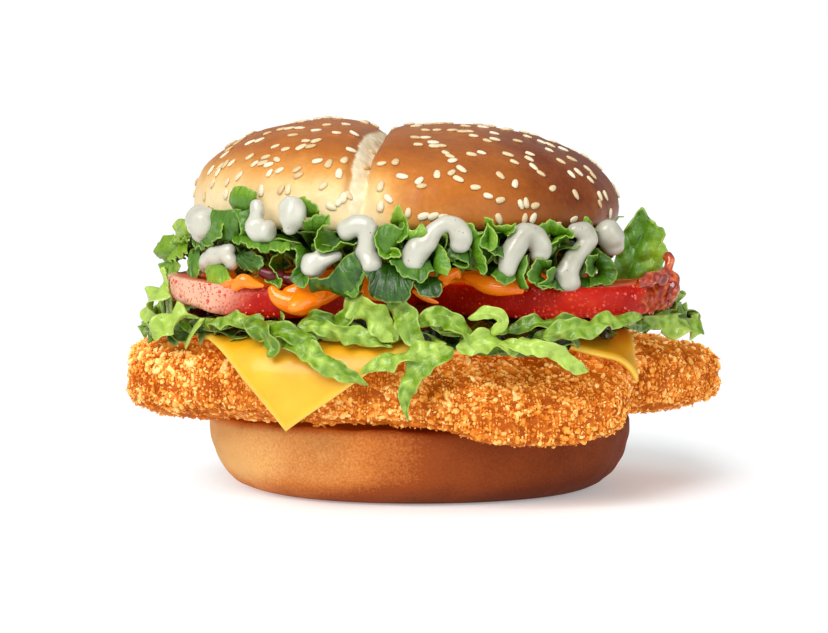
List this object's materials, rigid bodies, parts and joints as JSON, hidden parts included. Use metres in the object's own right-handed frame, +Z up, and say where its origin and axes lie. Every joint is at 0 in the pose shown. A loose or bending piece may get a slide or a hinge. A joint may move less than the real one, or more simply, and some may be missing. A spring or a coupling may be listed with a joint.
{
  "type": "paneer burger",
  "caption": "Breaded patty burger in a split sesame bun with draped cheese, shredded lettuce, tomato slices, orange sauce, frilly lettuce and dollops of white sauce.",
  "frame": {"origin": "centre of the flat underside of the bottom bun, on the surface it rests on", "axes": "+Z up, -Y to the side shown in the picture, where the cheese corner and the dollops hang, +X to the right of that view"},
  "size_m": [0.156, 0.1378, 0.0968],
  "materials": {
    "heel_bread": "soft baked bread side, matt, golden brown",
    "crown_bread": "baked crust with a soft sheen, pale sesame seeds",
    "breading": "rough fried breadcrumbs, golden orange",
    "cheese": "smooth satin processed cheese",
    "tomato": "wet glossy skin with small drops",
    "orange_sauce": "thick glossy sauce with red specks",
    "shredded_lettuce": "thin crisp leaf, satin, light green",
    "frilly_lettuce": "frilly leaf, satin, dark green with light edges",
    "white_sauce": "thick off-white sauce with a soft gloss"
  },
  "bodies": {
    "root": {"heel": "heel_bread", "patty": "breading", "cheese_front": "cheese", "cheese_right": "cheese", "tomato_left": "tomato", "tomato_right": "tomato", "tomato_back": "tomato", "orange_sauce": "orange_sauce", "crown": "crown_bread", "shredded_lettuce": "shredded_lettuce", "frilly_lettuce": "frilly_lettuce", "white_sauce_01": "white_sauce", "white_sauce_02": "white_sauce", "white_sauce_03": "white_sauce", "white_sauce_04": "white_sauce", "white_sauce_05": "white_sauce", "white_sauce_06": "white_sauce", "white_sauce_07": "white_sauce", "white_sauce_08": "white_sauce", "white_sauce_09": "white_sauce", "white_sauce_10": "white_sauce", "white_sauce_11": "white_sauce", "white_sauce_12": "white_sauce", "white_sauce_13": "white_sauce", "white_sauce_14": "white_sauce"}
  },
  "joints": []
}
